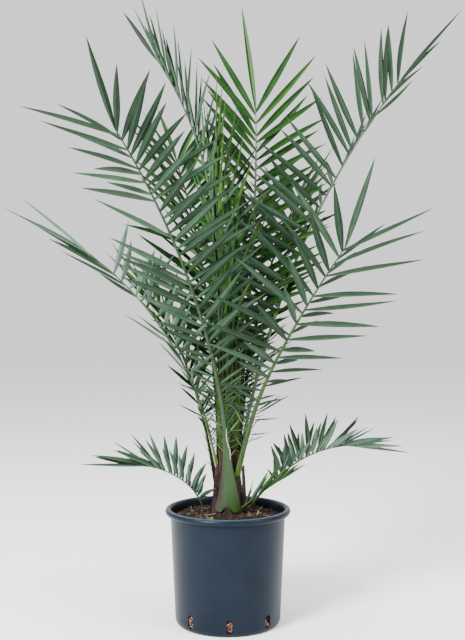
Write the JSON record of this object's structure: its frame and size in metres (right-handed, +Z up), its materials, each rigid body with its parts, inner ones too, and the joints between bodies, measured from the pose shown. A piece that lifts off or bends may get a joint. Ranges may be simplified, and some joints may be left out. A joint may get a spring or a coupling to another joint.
{
  "type": "potted palm",
  "caption": "Young feather palm in a round nursery pot: a short fibrous trunk, arching fronds of narrow folded leaflets, and a tapered pot with a rolled rim and drain slots.",
  "frame": {"origin": "centre of the pot's flat underside", "axes": "+Z up along the pot's axis, -Y towards the side that the picture shows, +X to that picture's right"},
  "size_m": [1.1389, 1.0872, 1.5318],
  "materials": {
    "pot_plastic": "satin",
    "potting_soil": "matte",
    "trunk_fibre": "matte",
    "dead_sheath": "matte",
    "leaf_green": "satin",
    "leaf_young": "satin"
  },
  "bodies": {
    "root": {"pot": "pot_plastic", "soil": "potting_soil", "trunk": "trunk_fibre", "spear": "leaf_young", "stub_left": "dead_sheath", "stub_right": "dead_sheath", "stub_back_left": "dead_sheath", "stub_back_right": "dead_sheath", "frond_front_left": "leaf_green", "frond_front_right": "leaf_green", "frond_left": "leaf_green", "frond_right_tall": "leaf_green", "frond_centre_tall": "leaf_young", "frond_left_tall": "leaf_green", "frond_left_small": "leaf_green", "frond_right_small": "leaf_green", "frond_right_low": "leaf_green", "frond_left_inner": "leaf_green", "frond_heart": "leaf_young", "frond_back_right": "leaf_green", "frond_back_left": "leaf_green", "frond_back": "leaf_green"}
  },
  "joints": []
}
